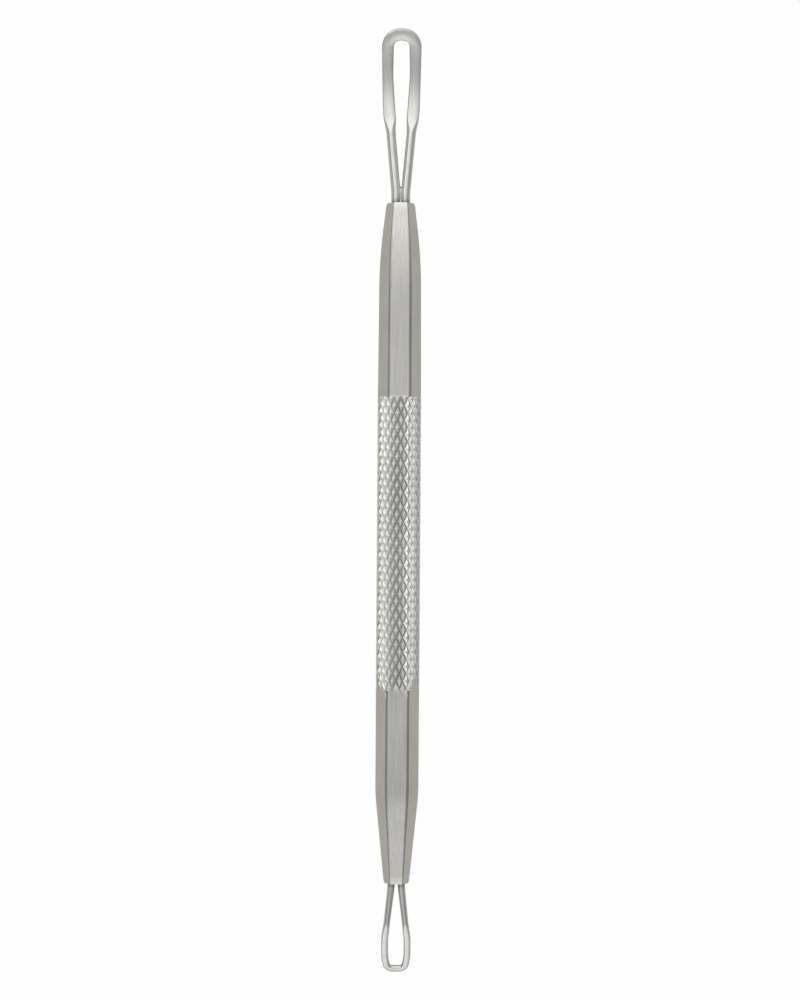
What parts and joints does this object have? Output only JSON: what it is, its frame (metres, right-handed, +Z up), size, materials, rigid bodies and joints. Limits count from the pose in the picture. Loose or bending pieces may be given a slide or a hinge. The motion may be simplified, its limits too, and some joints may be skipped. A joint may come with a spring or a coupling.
{
  "type": "blackhead extractor",
  "caption": "Hand tool that presses blackheads out of skin: knurled steel bar with tapered hexagonal ends, a long flattened wire loop at one end and a short bent one at the other.",
  "frame": {"origin": "centre of the bounding box's underside, at the height of the small loop's tip, straight below the bar's axis", "axes": "+Y along the bar towards the large loop, +Z up, away from the side that both loops dip to, +X across the bar"},
  "size_m": [0.006, 0.1297, 0.0067],
  "materials": {
    "bar_steel": "satin, ground along the bar",
    "wire_steel": "fine satin, polished",
    "braze": "cast silver braze, slightly rough"
  },
  "bodies": {
    "root": {"handle": "bar_steel", "large_loop": "wire_steel", "small_loop": "wire_steel", "large_loop_braze": "braze", "small_loop_braze": "braze"}
  },
  "joints": []
}
